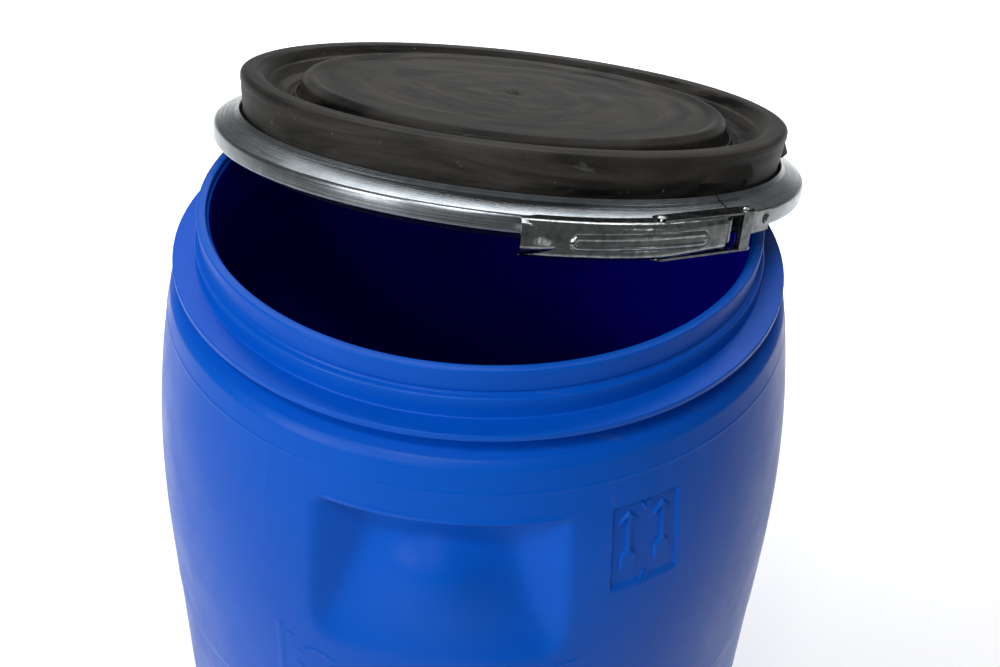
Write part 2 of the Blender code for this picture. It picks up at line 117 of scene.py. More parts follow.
def rounded_path(corners, steps=4):
    """The polyline through (x, y, radius) corners, each rounded by an arc that touches both its sides."""
    corners = np.array(corners, float)
    points = [corners[:1, :2]]
    for before, here, after in zip(corners[:-2], corners[1:-1], corners[2:]):
        corner, radius = here[:2], here[2]
        back = (before[:2] - corner) / np.linalg.norm(before[:2] - corner)
        ahead = (after[:2] - corner) / np.linalg.norm(after[:2] - corner)
        half = np.arccos(np.clip(back @ ahead, -1, 1)) / 2
        if radius == 0 or half > NEARLY_STRAIGHT:
            points.append(corner[None])
            continue
        middle = back + ahead
        centre = corner + middle / np.linalg.norm(middle) * radius / np.sin(half)
        start = corner + back * radius / np.tan(half) - centre
        end = corner + ahead * radius / np.tan(half) - centre
        turn = np.pi - 2 * half
        share = np.linspace(0, 1, steps + 1)[:, None]
        arc = (np.sin((1 - share) * turn) * start + np.sin(share * turn) * end) / np.sin(turn)
        points.append(centre + arc)
    points.append(corners[-1:, :2])
    return np.concatenate(points)


def stretch(*pieces):
    """Values from runs of (start, end, step), each run without its end, and the last with it."""
    runs = [np.arange(start, end - step * 0.3, step) for start, end, step in pieces]
    return np.concatenate([*runs, [pieces[-1][1]]])


print("a fillet as wide as 2 lifts the corner of two surfaces by", soft_max(0.0, 0.0, 2.0))

# %% Grids to meshes


def grid_faces(rows, columns, closed_columns=False):
    """The quads between neighbouring points of a grid, as an array of point numbers."""
    i, j = np.meshgrid(np.arange(rows - 1), np.arange(columns - (not closed_columns)), indexing="ij")
    i_next, j_next = i + 1, (j + 1) % columns
    quads = [i * columns + j, i_next * columns + j, i_next * columns + j_next, i * columns + j_next]
    return np.stack(quads, -1).reshape(-1, 4)


def volume_of(points, faces):
    """The signed volume: a sixth of the sum of a . (b x c) over the two triangles of each quad."""
    total = 0.0
    for first, second in ((1, 2), (2, 3)):
        a, b, c = points[faces[:, 0]], points[faces[:, first]], points[faces[:, second]]
        total += np.einsum("ij,ij->i", a, np.cross(b, c)).sum() / 6
    return total


MERGE_WITHIN = 1e-6
NO_LENGTH = 1e-7


def make_piece(name, points, faces, finishes, body, replaces=(), sharp=40, extra=None):
    """A mesh object at the origin from points and quads, merged at its poles, that rides on its body.

    extra holds vector attributes by name, sharp is the angle in degrees from which an edge stays sharp.
    """
    points = points.reshape(-1, 3)
    if volume_of(points - points.mean(0), faces) < 0:
        faces = faces[:, ::-1]
    mesh = bpy.data.meshes.new(name)
    mesh.from_pydata(points.tolist(), [], faces.tolist())
    for key, values in (extra or {}).items():
        mesh.attributes.new(key, "FLOAT_VECTOR", "POINT").data.foreach_set("vector", values.ravel())
    shape = bmesh.new()
    shape.from_mesh(mesh)
    bmesh.ops.remove_doubles(shape, verts=shape.verts, dist=MERGE_WITHIN)
    bmesh.ops.dissolve_degenerate(shape, edges=shape.edges, dist=NO_LENGTH)
    open_edges = sum(not edge.is_manifold for edge in shape.edges)
    shape.to_mesh(mesh)
    shape.free()
    mesh.shade_smooth()
    mesh.set_sharp_from_angle(angle=math.radians(sharp))
    for finish in finishes:
        mesh.materials.append(finish)
    made = bpy.data.objects.new(name, mesh)
    bpy.context.scene.collection.objects.link(made)
    if body:
        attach(made, body)
    if replaces:
        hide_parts(*replaces)
    triangles = sum(len(polygon.vertices) - 2 for polygon in mesh.polygons)
    print(f"{name}: {triangles} triangles, {open_edges} open edges")
    return made


print("a grid of 3 by 4 points has", len(grid_faces(3, 4)), "quads")

# %% [markdown]
# ## Camera
#
# The camera stands in front of the drum and looks down on the mouth from about 31 degrees. A small turn
# about each of its own axes then frames the mouth, the closure and the upper body.

# %% Camera
MOUTH_LEVEL = 0.790
EYE_DISTANCE = 0.8958
EYE_ELEVATION = 0.536
LENS_MM, SENSOR_MM = 44.78, 36.0
PAN, TILT, ROLL = -0.0187, -0.1094, 0.0437
camera = bpy.data.objects.new("camera", bpy.data.cameras.new("camera"))
bpy.context.scene.collection.objects.link(camera)
camera.data.lens = LENS_MM
camera.data.sensor_width = SENSOR_MM
camera.data.clip_end = 60.0
up = (0, math.sin(EYE_ELEVATION), math.cos(EYE_ELEVATION))
back = (0, -math.cos(EYE_ELEVATION), math.sin(EYE_ELEVATION))
facing = Matrix(((1, 0, 0), up, back)).transposed()
turns = Matrix.Rotation(PAN, 3, "Y") @ Matrix.Rotation(TILT, 3, "X") @ Matrix.Rotation(ROLL, 3, "Z")
eye = Vector(back) * EYE_DISTANCE + Vector((0, 0, MOUTH_LEVEL))
camera.matrix_world = Matrix.Translation(eye) @ (facing @ turns).to_4x4()
bpy.context.scene.camera = camera
print("camera at", [round(value, 3) for value in eye])

# %% [markdown]
# ## Finishes from nodes
#
# Each finish below is a tree of nodes on one shader. Written out in full, a tree hides its idea between
# lines that only make links, so a few helpers make them: one adds a node with its inputs, one sets a
# socket of the shader, and two turn a pattern into a number or a colour.

# %% Node helpers


def new_finish(name):
    """A material with nodes, and short ways to add nodes and links to it."""
    material = bpy.data.materials.new(name)
    material.use_nodes = True
    tree = material.node_tree

    def add(kind, inputs=None, **settings):
        made = tree.nodes.new(kind)
        for key, value in settings.items():
            setattr(made, key, value)
        for key, value in (inputs or {}).items():
            if isinstance(value, bpy.types.NodeSocket):
                tree.links.new(value, made.inputs[key])
            else:
                made.inputs[key].default_value = value
        return made

    shader = tree.nodes["Principled BSDF"]

    def wire(socket, value):
        if isinstance(value, bpy.types.NodeSocket):
            tree.links.new(value, shader.inputs[socket])
        else:
            shader.inputs[socket].default_value = value

    return material, add, wire


def grade(add, value, low, high, start=0.3, end=0.7):
    """A number from low to high as the value goes from start to end."""
    limits = {"From Min": start, "From Max": end, "To Min": low, "To Max": high}
    return add("ShaderNodeMapRange", {"Value": value, **limits}).outputs["Result"]


# A Mix node holds sockets for every data type. These are the numbers of its factor and its colours.
MIX_FACTOR, MIX_FIRST, MIX_SECOND, MIX_RESULT = 0, 6, 7, 2


def tint(add, value, low, high, start=0.3, end=0.7):
    """A colour between two as the value goes from start to end. The first may be the output of a node."""
    share = grade(add, value, 0.0, 1.0, start, end)
    first = low if isinstance(low, bpy.types.NodeSocket) else (*low, 1)
    colours = {MIX_FIRST: first, MIX_SECOND: (*high, 1)}
    return add("ShaderNodeMix", {MIX_FACTOR: share, **colours}, data_type="RGBA").outputs[MIX_RESULT]


# %% [markdown]
# ## Floor and light
#
# The drum stands in a plain pale room, which is only a stage and not a part of the drum. The floor is a
# sheet that runs far back, so that it fills the view. A big soft light from the left shapes the round
# body, and one above the mouth draws the lid's rim. Two narrow strips of light and a weak one from behind
# give the steel something to reflect. Two more lights shine on the floor behind the drum and keep the
# background pale without washing out the drum's blue.

# %% Floor
floor_finish, add, wire = new_finish("pale_floor")
wire("Base Color", (0.86, 0.86, 0.86, 1))
wire("Roughness", 0.9)
wire("Specular IOR Level", 0.1)
floor_mesh = bpy.data.meshes.new("floor")
FLOOR_HALF = 14.0
corners = [(x * FLOOR_HALF, y * FLOOR_HALF, 0) for x, y in ((-1, -1), (1, -1), (1, 1), (-1, 1))]
floor_mesh.from_pydata(corners, [], [(0, 1, 2, 3)])
floor_mesh.materials.append(floor_finish)
floor = bpy.data.objects.new("floor", floor_mesh)
bpy.context.scene.collection.objects.link(floor)
print("floor", 2 * FLOOR_HALF, "m wide")

# %% Lights
WORLD_STRENGTH = 0.115
world = bpy.data.worlds.new("studio")
bpy.context.scene.world = world
world.use_nodes = True
world.node_tree.nodes["Background"].inputs["Color"].default_value = (1, 1, 1, 1)
world.node_tree.nodes["Background"].inputs["Strength"].default_value = WORLD_STRENGTH


def soft_light(name, place, aim, size, power, spread=180):
    """A rectangular light that faces its aim, with the width of its beam in degrees."""
    lamp = bpy.data.lights.new(name, "AREA")
    lamp.shape = "RECTANGLE"
    lamp.size, lamp.size_y = size
    lamp.energy = power
    lamp.spread = math.radians(spread)
    made = bpy.data.objects.new(name, lamp)
    bpy.context.scene.collection.objects.link(made)
    made.location = place
    made.rotation_euler = (Vector(aim) - Vector(place)).to_track_quat("-Z", "Y").to_euler()


soft_light("key_light", (-2.2, -1.7, 1.8), (0, 0, 0.65), (1.1, 1.7), 38)
soft_light("top_light", (-0.55, -1.25, 2.8), (0, -0.1, 0.8), (1.0, 0.35), 17)
soft_light("front_strip", (-0.80, -2.2, 2.1), (0, 0, 0.80), (0.30, 1.2), 8)
soft_light("side_strip", (2.1, -1.6, 1.15), (0.2, -0.2, 0.80), (0.10, 1.0), 1.0)
soft_light("back_light", (0.1, 2.4, 2.2), (0, 0, 0.9), (1.8, 0.7), 3)
soft_light("near_floor_light", (0.2, 1.5, 2.6), (0.2, 1.7, 0), (2.6, 1.4), 44, 110)
soft_light("far_floor_light", (0.0, 5.2, 4.2), (0, 5.6, 0), (6.0, 4.5), 215, 140)
bpy.context.scene.view_settings.view_transform = "Standard"
print("lights:", sorted(lamp.name for lamp in bpy.data.lights))

# %% [markdown]
# ## Blue polyethylene
#
# Blow-moulded polyethylene is a satin plastic. Its colour is even, with faint clouds where the wall is
# thicker, and its skin carries a fine orange peel from the mould and a few long scuffs from handling.
# Inside the drum the inner skin is given a much deeper, darker blue, which is painted shade for the dim
# inside of the drum.

# %% Blue plastic, outside and inside, the inside with painted shade


def blue_polyethylene(name, dark, light, rough_low, rough_high):
    """Clouds of two blues, an orange-peel bump, and thin pale scuffs from stretched noise."""
    material, add, wire = new_finish(name)
    place = add("ShaderNodeTexCoord").outputs["Object"]
    clouds = add("ShaderNodeTexNoise", {"Vector": place, "Scale": 5.0, "Detail": 4.0, "Roughness": 0.55})
    colour = tint(add, clouds.outputs[0], dark, light)
    drawn_out = {"Vector": place, "Rotation": (0.5, 0.9, 0.4), "Scale": (9.0, 190.0, 60.0)}
    lean = add("ShaderNodeMapping", drawn_out).outputs[0]
    scuffs = add("ShaderNodeTexNoise", {"Vector": lean, "Scale": 1.0, "Detail": 3.0, "Distortion": 0.6})
    patches = add("ShaderNodeTexNoise", {"Vector": place, "Scale": 9.0, "Detail": 2.0})
    marks = add(
        "ShaderNodeMath",
        {
            0: grade(add, scuffs.outputs[0], 0, 1, 0.64, 0.76),
            1: grade(add, patches.outputs[0], 0, 0.35, 0.5, 0.7),
        },
        operation="MULTIPLY",
    ).outputs[0]
    paler = tuple(0.45 * value + 0.10 for value in light)
    wire("Base Color", tint(add, marks, colour, paler, 0.0, 1.0))
    skin = add("ShaderNodeTexNoise", {"Vector": place, "Scale": 26.0, "Detail": 5.0, "Roughness": 0.6})
    wire("Roughness", grade(add, skin.outputs[0], rough_low, rough_high))
    peel = add("ShaderNodeTexNoise", {"Vector": place, "Scale": 420.0, "Detail": 3.0, "Roughness": 0.6})
    swell = add("ShaderNodeTexNoise", {"Vector": place, "Scale": 22.0, "Detail": 2.0})
    coarse = add("ShaderNodeBump", {"Height": swell.outputs[0], "Strength": 0.10, "Distance": 0.004})
    fine = {"Height": peel.outputs[0], "Strength": 0.10, "Distance": 0.0006, "Normal": coarse.outputs[0]}
    wire("Normal", add("ShaderNodeBump", fine).outputs[0])
    wire("Specular IOR Level", 0.14)
    return material


BLUES = (0.0001, 0.090, 0.55), (0.0002, 0.106, 0.63)
# The inside's deeper, darker blues are painted shade, not a different plastic.
PAINTED_SHADE_BLUES = (0.0050, 0.0010, 0.42), (0.0065, 0.0016, 0.55)
blue_plastic = blue_polyethylene("blue_polyethylene", *BLUES, 0.28, 0.40)
blue_painted_shade = blue_polyethylene("blue_polyethylene_painted_shade", *PAINTED_SHADE_BLUES, 0.42, 0.55)
print("blue outside and inside:", BLUES[0], PAINTED_SHADE_BLUES[0])

# %% [markdown]
# ## Black polyethylene
#
# The lid is injection moulded from recycled black plastic. The melt spread from one gate in the middle, so
# the disc shows swirling flow marks round it. The pattern needs to turn with the flow, so the mesh carries
# an attribute, flow, that is worked out with the surface: the direction round the gate, twisted by the
# distance from it. A second attribute, wear_and_highlight, is high on the disc's raised crest and on the
# outer edge of the crown. There the plastic is glossier and a little grey: partly polish from handling,
# partly a painted highlight along those rounded edges.

# %% Black plastic


def black_polyethylene():
    """Spiral streaks from noise on flow, pale scratches, dust, worn edges paler as painted highlight, a fine
    bump.
    """
    material, add, wire = new_finish("black_polyethylene")
    place = add("ShaderNodeTexCoord").outputs["Object"]
    flow = add("ShaderNodeAttribute", attribute_name="flow").outputs["Vector"]
    swirl = {"Vector": flow, "Scale": 1.6, "Detail": 6.0, "Roughness": 0.62, "Distortion": 0.9}
    streaks = add("ShaderNodeTexNoise", swirl)
    colour = tint(add, streaks.outputs[0], (0.0040, 0.0039, 0.0038), (0.054, 0.0505, 0.046), 0.38, 0.66)
    dust = add("ShaderNodeTexNoise", {"Vector": place, "Scale": 260.0, "Detail": 2.0, "Roughness": 0.7})
    drawn_out = {"Vector": place, "Rotation": (0.3, 0.6, 1.1), "Scale": (14.0, 300.0, 90.0)}
    lean = add("ShaderNodeMapping", drawn_out).outputs[0]
    scuffs = add("ShaderNodeTexNoise", {"Vector": lean, "Scale": 1.0, "Detail": 4.0, "Distortion": 1.2})
    speckled = tint(add, dust.outputs[0], colour, (0.16, 0.16, 0.155), 0.70, 0.80)
    scuffed = tint(add, scuffs.outputs[0], speckled, (0.13, 0.13, 0.125), 0.70, 0.84)
    # Fac is the mean of a vector attribute's three parts, so it reaches only a third of the attribute's
    # height.
    wear_and_highlight = add("ShaderNodeAttribute", attribute_name="wear_and_highlight").outputs["Fac"]
    # Paler grey on the crest and crown edge: partly real wear, partly a painted highlight.
    wire("Base Color", tint(add, wear_and_highlight, scuffed, (0.075, 0.075, 0.076), 0.1, 1.6))
    satin = grade(add, streaks.outputs[0], 0.42, 0.58)
    polish = grade(add, wear_and_highlight, 0.0, 0.30, 0.0, 0.6)
    wire("Roughness", add("ShaderNodeMath", {0: satin, 1: polish}, operation="SUBTRACT").outputs[0])
    grain = add("ShaderNodeTexNoise", {"Vector": place, "Scale": 700.0, "Detail": 3.0})
    wave = add("ShaderNodeTexNoise", {"Vector": flow, "Scale": 3.0, "Detail": 3.0, "Distortion": 0.6})
    coarse = add("ShaderNodeBump", {"Height": wave.outputs[0], "Strength": 0.12, "Distance": 0.002})
    fine = {"Height": grain.outputs[0], "Strength": 0.15, "Distance": 0.0005, "Normal": coarse.outputs[0]}
    wire("Normal", add("ShaderNodeBump", fine).outputs[0])
    wire("Specular IOR Level", 0.13)
    return material


black_plastic = black_polyethylene()
print("black finish with", len(black_plastic.node_tree.nodes), "nodes")

# %% [markdown]
# ## Two kinds of zinc
#
# The ring is rolled from galvanised strip. Its zinc is satin, with marks that run along the strip, so the
# noise is stretched along an attribute that measures the way round the ring. The lever and its fittings
# are pressed and then plated, which leaves them bright and slightly wavy.

# %% Galvanised strip and bright zinc


def galvanised_strip():
    """Long rolling marks from noise over (along, across), and faint zinc flowers from a Voronoi pattern."""
    material, add, wire = new_finish("galvanised_strip")
    place = add("ShaderNodeTexCoord").outputs["Object"]
    strip = add("ShaderNodeAttribute", attribute_name="strip").outputs["Vector"]
    rolled = add("ShaderNodeMapping", {"Vector": strip, "Scale": (7.0, 900.0, 1.0)})
    along = rolled.outputs[0]
    marks = add("ShaderNodeTexNoise", {"Vector": along, "Scale": 1.0, "Detail": 4.0, "Roughness": 0.6})
    flowers = add("ShaderNodeTexVoronoi", {"Vector": place, "Scale": 130.0, "Randomness": 1.0})
    stains = add("ShaderNodeTexNoise", {"Vector": place, "Scale": 30.0, "Detail": 4.0, "Roughness": 0.6})
    base = tint(add, flowers.outputs["Color"], (0.31, 0.345, 0.37), (0.40, 0.435, 0.46), 0.0, 1.0)
    wire("Base Color", tint(add, stains.outputs[0], base, (0.20, 0.225, 0.24), 0.52, 0.80))
    wire("Metallic", 1.0)
    wire("Roughness", grade(add, marks.outputs[0], 0.19, 0.34))
    lines = add("ShaderNodeBump", {"Height": marks.outputs[0], "Strength": 0.10, "Distance": 0.0004})
    wire("Normal", lines.outputs[0])
    return material


def bright_zinc():
    """A bright plated skin, wavy from pressing, with fine stains and scratches."""
    material, add, wire = new_finish("bright_zinc")
    place = add("ShaderNodeTexCoord").outputs["Object"]
    waves = add("ShaderNodeTexNoise", {"Vector": place, "Scale": 90.0, "Detail": 2.0, "Roughness": 0.5})
    stains = add("ShaderNodeTexNoise", {"Vector": place, "Scale": 160.0, "Detail": 5.0, "Roughness": 0.65})
    wire("Base Color", tint(add, stains.outputs[0], (0.46, 0.475, 0.48), (0.15, 0.16, 0.165), 0.42, 0.72))
    wire("Metallic", 1.0)
    wire("Roughness", grade(add, stains.outputs[0], 0.10, 0.30))
    pressed = add("ShaderNodeBump", {"Height": waves.outputs[0], "Strength": 0.30, "Distance": 0.0016})
    wire("Normal", pressed.outputs[0])
    return material


def foam_rubber():
    """A dark foamed seal with open pores."""
    material, add, wire = new_finish("foam_rubber")
    place = add("ShaderNodeTexCoord").outputs["Object"]
    pores = add("ShaderNodeTexVoronoi", {"Vector": place, "Scale": 900.0})
    depth = pores.outputs["Distance"]
    wire("Base Color", tint(add, depth, (0.012, 0.012, 0.013), (0.034, 0.034, 0.036), 0.1, 0.6))
    wire("Roughness", 0.85)
    pitted = add("ShaderNodeBump", {"Height": depth, "Strength": 0.4, "Distance": 0.0005})
    wire("Normal", pitted.outputs[0])
    return material


galvanised = galvanised_strip()
zinc = bright_zinc()
rubber = foam_rubber()
print("finishes:", sorted(material.name for material in (galvanised, zinc, rubber)))

# %% [markdown]
# ## The drum's body
#
# The real body is one hollow piece, blown against the inside of a mould. It could be made with a Screw
# modifier, but its hand recesses, panel and witness lines follow both the angle and the height, so a
# function of those two is a better start. The profile runs from the middle of the base up the outside,
# over the rim and down the inside. Wherever something is pressed in or stands out, the radius changes.

# %% The barrel's radius
BODY_RADIUS, SHOULDER_RADIUS, FOOT_RADIUS = 0.2471, 0.2241, 0.2360
SHOULDER_TOP, SHOULDER_LOW, FOOT_TOP = -0.0578, -0.2698, 0.190 - MOUTH_LEVEL
TAPER_POWER = 2.2
WALL = 0.0040


def barrel_radius(level):
    """The barrel's radius at a level from the rim: straight, with a power curve to shoulder and foot."""
    upward = np.clip((level - SHOULDER_LOW) / (SHOULDER_TOP - SHOULDER_LOW), 0, None)
    downward = np.clip((FOOT_TOP - level) / (FOOT_TOP + MOUTH_LEVEL), 0, None)
    radius = BODY_RADIUS - (BODY_RADIUS - SHOULDER_RADIUS) * upward**TAPER_POWER
    return radius - (BODY_RADIUS - FOOT_RADIUS) * downward**TAPER_POWER


barrel_ends = barrel_radius(np.array([SHOULDER_TOP, SHOULDER_LOW, -MOUTH_LEVEL]))
print("barrel radius at shoulder, belly and foot", barrel_ends.round(4))

# %% [markdown]
# ### Hand recesses
#
# A recess is the lower envelope of the barrel and four surfaces: a floor that runs out downwards, a side
# wall on each side, a steep roof under the top edge, and a rounded swell in the middle that stiffens the
# floor. Soft maximum and minimum join them with fillets, as a blown wall would.

# %% Hand recess
RECESS_AZIMUTH = math.radians(-94.6)
RECESS_TOP, RECESS_LOW = -0.0945, -0.2130
RECESS_FLOOR, RECESS_RUN_OUT = 0.2115, 0.2440
RECESS_MIDDLE_RADIUS = 0.225
EDGE_HALF_ANGLE, CORNER_ANGLE = math.radians(20.6), math.radians(1.4)
SIDE_SLOPE = 0.0275 / math.radians(8.8)
SIDE_FILLET, ROOF_FILLET = 0.006, 0.003
SWELL_HEIGHT, SWELL_TOP_HALF, SWELL_WIDENING = 0.0165, 0.020, 0.042
ROOF_HEIGHT, ROOF_REACH = 0.0080, 0.0240


def recess_radius(angle, level):
    """The recess's surface at an angle from its middle: the soft maximum of floor, sides and roof.

    The floor runs out with the square of the way down and carries a swell shaped as a bell across.
    """
    down = np.clip((RECESS_TOP - level) / (RECESS_TOP - RECESS_LOW), 0, 1.1)
    floor = RECESS_FLOOR + (RECESS_RUN_OUT - RECESS_FLOOR) * down**2
    across = np.abs(angle) * RECESS_MIDDLE_RADIUS
    bell = np.exp(-((across / (SWELL_TOP_HALF + SWELL_WIDENING * down)) ** 2))
    swell = SWELL_HEIGHT * bell * ramp(level, -0.108, -0.150)
    floor = floor + swell * (1 - 0.75 * ramp(down, 0.50, 1.0))
    edge = EDGE_HALF_ANGLE - CORNER_ANGLE * (ramp(down, 0.09, 0.0) ** 2 + ramp(down, 0.8, 1.0))
    side = barrel_radius(level) + (np.abs(angle) - edge) * SIDE_SLOPE
    roof = RECESS_FLOOR + (level - RECESS_TOP + ROOF_HEIGHT) / ROOF_HEIGHT * ROOF_REACH
    return soft_max(soft_max(floor, side, SIDE_FILLET), roof, ROOF_FILLET)


def recess_lip(angle, level):
    """A thin bead along the recess's top edge, where the blown wall folds over the mould."""
    bead = 0.0011 * np.exp(-(((level - RECESS_TOP + 0.0004) / 0.0013) ** 2))
    return bead * (1 - ramp(np.abs(angle), 0.85 * EDGE_HALF_ANGLE, EDGE_HALF_ANGLE))


half_way = (RECESS_TOP + RECESS_LOW) / 2
depth = barrel_radius(half_way) - recess_radius(0.0, half_way)
print("recess in its middle", round(1000 * float(depth), 1), "mm deep")

# %% [markdown]
# ### Marks in the mould
#
# A panel with two raised arrows stands to the right of the recess, and a plain label frame with a ring
# below it. Both come from signed distances: how far a point lies inside an outline. A ramp over that
# distance gives the step its steep flank. The fine lines round and down the body are witness marks of the
# mould's inserts.

# %% Distances to outlines


def line_distance(x, y, points):
    """How far each (x, y) lies from the polyline: the smallest distance to one of its straight pieces."""
    nearest = np.full(np.broadcast(x, y).shape, np.inf)
    for (x0, y0), (x1, y1) in zip(points[:-1], points[1:]):
        run, climb = x1 - x0, y1 - y0
        along = np.clip(((x - x0) * run + (y - y0) * climb) / (run**2 + climb**2), 0, 1)
        nearest = np.minimum(nearest, np.hypot(x - x0 - along * run, y - y0 - along * climb))
    return nearest


def inside_distance(x, y, outline):
    """How far each (x, y) lies inside a closed outline, negative outside.

    The size is the distance to the outline. The sign says whether a ray to the right crosses it an odd
    number of times.
    """
    closed = [*outline, outline[0]]
    nearest = line_distance(x, y, closed)
    inside = np.zeros(nearest.shape, bool)
    for (x0, y0), (x1, y1) in zip(closed[:-1], closed[1:]):
        if y0 != y1:
            inside ^= ((y0 > y) != (y1 > y)) & (x < (x1 - x0) * (y - y0) / (y1 - y0) + x0)
    return np.where(inside, nearest, -nearest)


def stroke(x, y, points, half_width):
    """How far inside a drawn line of this half width points lie."""
    return half_width - line_distance(x, y, points)


square = [(0, 0), (2, 0), (2, 2), (0, 2)]
print("the middle of a square 2 wide lies", inside_distance(np.array([1.0]), 1.0, square)[0], "inside")

# %% Panel, label frame and witness lines
# The outlines of the marks are in millimetres, across and up. Heights and depths are in metres.
ARROW_SIDE = [(0.0, 0.0), (6.6, -6.8), (6.6, -9.2), (1.4, -4.4), (1.4, -30.0), (5.6, -34.2), (5.6, -46.0)]
ARROW = ARROW_SIDE + [(-x, y) for x, y in reversed(ARROW_SIDE[1:])]
ARROW_TIP = -101.6
PANEL_AZIMUTH, PANEL_HALF, PANEL_RADIUS = math.radians(-60.8), 25.6, 230.0
PANEL_TOP, PANEL_LOW = -95.5, -163.0
PANEL_DEPTH, ARROW_RISE = 0.0021, 0.0018
LABEL_AZIMUTH, LABEL_HALF, LABEL_RADIUS = math.radians(-96.6), 102.5, 243.0
LABEL_TOP, LABEL_LOW = -217.6, -300.0
LABEL_RISE = 0.0009
RING_MARK_MIDDLE, RING_MARK_RADIUS = (-73.8, -244.0), 15.0


def panel_relief(angle, level):
    """The sunk panel, wide-flanked at right and below, with two arrows and two small marks in it."""
    x, y = (angle - PANEL_AZIMUTH) * PANEL_RADIUS, level * 1000
    flanks = [ramp(x, -PANEL_HALF, 0.9 - PANEL_HALF), 1 - ramp(x, PANEL_HALF - 4.2, PANEL_HALF)]
    flanks += [1 - ramp(y, PANEL_TOP - 1.0, PANEL_TOP), ramp(y, PANEL_LOW, PANEL_LOW + 5.0)]
    sunk = flanks[0] * flanks[1] * flanks[2] * flanks[3]
    raised = np.zeros(np.broadcast(x, y).shape)
    for middle in (-13.6, 11.8):
        raised = np.maximum(raised, ramp(inside_distance(x - middle, y - ARROW_TIP, ARROW), -0.35, 0.35))
    for flip, level_mark in ((1, -103.0), (-1, -154.5)):
        v_mark = [(-2.6, 4.6 * flip), (0.0, 0.0), (2.6, 4.6 * flip)]
        raised = np.maximum(raised, 0.7 * ramp(stroke(x + 1.0, y - level_mark, v_mark, 0.7), -0.4, 0.4))
    return ARROW_RISE * raised - PANEL_DEPTH * sunk


def label_relief(angle, level):
    """A raised frame line with an empty ring in its upper left corner, and short ticks beside it."""
    x, y = (angle - LABEL_AZIMUTH) * LABEL_RADIUS, level * 1000
    frame_line = [
        (LABEL_HALF, LABEL_TOP), (LABEL_HALF, LABEL_LOW), (-LABEL_HALF, LABEL_LOW), (-LABEL_HALF, LABEL_TOP)
    ]
    from_middle = np.hypot(x - RING_MARK_MIDDLE[0], y - RING_MARK_MIDDLE[1])
    lines = [
        stroke(x, y, frame_line, 0.7),
        0.8 - np.abs(from_middle - RING_MARK_RADIUS),
        stroke(x, y, [(-97.4, -223.0), (-91.9, -223.6)], 0.8),
        stroke(x, y, [(LABEL_HALF, LABEL_TOP), (89.0, -220.0)], 0.8),
    ]
    return LABEL_RISE * ramp(np.maximum.reduce(lines), -0.5, 0.5)


WITNESS_LEVEL, WITNESS_AZIMUTH, WITNESS_RADIUS = -0.0742, math.radians(-124), 0.228


def witness_relief(angle, level):
    """Thin raised lines where mould inserts meet, round the shoulder and down from it, and a lower step."""
    around = 0.00035 * np.exp(-(((level - WITNESS_LEVEL) / 0.0009) ** 2))
    down = 0.0003 * np.exp(-((((angle - WITNESS_AZIMUTH) * WITNESS_RADIUS) / 0.0008) ** 2))
    down = down * ramp(level, -0.135, -0.128) * (1 - ramp(level, -0.076, -0.073))
    return around + down - 0.0006 * (1 - ramp(level, -0.322, -0.318))


def outer_radius(angle, level):
    """The barrel's outside: recesses cut by a soft minimum, then the fine relief added."""
    radius = np.broadcast_to(barrel_radius(level), np.broadcast(angle, level).shape)
    for azimuth in (RECESS_AZIMUTH, RECESS_AZIMUTH + math.pi):
        turn = (angle - azimuth + math.pi) % (2 * math.pi) - math.pi
        held = ramp(level, RECESS_LOW - 0.030, RECESS_LOW - 0.012)
        near = soft_min(radius, recess_radius(turn, level), 0.0016)
        radius = radius * (1 - held) + near * held + recess_lip(turn, level)
    return radius + panel_relief(angle, level) + label_relief(angle, level) + witness_relief(angle, level)


print("panel", 2 * PANEL_HALF, "mm wide, label frame", 2 * LABEL_HALF, "mm wide")

# %% [markdown]
# ### The body's grid
#
# The neck and the foot are turned shapes: a short list of corners, each with its radius, gives their
# profile. Between them the barrel's radius comes from the function above. The steps of the grid aren't
# even. They are fine where a mark or the recess's edge needs them and wide where the wall is plain, which
# keeps the piece light. A copy of the wall, moved inwards by its thickness, becomes the inside.

# %% Profiles of neck and foot
neck_corners = [
    (0.1910, -0.0440, 0), (0.1918, -0.0050, 0), (0.1921, -0.0042, 0.0004), (0.1936, -0.0034, 0.0005),
    (0.1938, 0.0, 0.0010), (0.2004, 0.0, 0.0013), (0.2002, -0.0150, 0.0010), (0.1990, -0.0163, 0.0008),
    (0.2000, -0.0180, 0.0008), (0.2036, -0.0192, 0.0022), (0.2034, -0.0339, 0.0012),
    (0.2200, -0.0335, 0.0009), (0.2200, -0.0381, 0.0008), (0.2062, -0.0388, 0.0010),
    (0.2052, -0.0470, 0.0020), (0.2120, -0.0500, 0.0030), (0.2195, -0.0535, 0.0060),
    (SHOULDER_RADIUS, SHOULDER_TOP, 0),
]
neck = rounded_path(neck_corners, 4)
foot_corners = [
    (0.2335, -0.7640, 0), (0.2305, -0.7850, 0.0100), (0.2180, -MOUTH_LEVEL, 0.0040),
    (0.2010, -MOUTH_LEVEL, 0.0030), (0.1930, 0.0040 - MOUTH_LEVEL, 0.0020),
    (0.0410, 0.0040 - MOUTH_LEVEL, 0.0020), (0.0350, -MOUTH_LEVEL, 0.0020), (0.0, -MOUTH_LEVEL, 0),
]
foot = rounded_path(foot_corners, 3)
floor_inside = 0.0100 - MOUTH_LEVEL
under_floor = rounded_path([(0.2270, -0.7640, 0), (0.2160, floor_inside, 0.0120), (0.0, floor_inside, 0)], 4)
throat_radius, throat_level = np.array([0.2120 - 0.0035, 0.1925]), np.array([-0.0540, -0.0470])
print("neck of", len(neck), "points, foot of", len(foot))

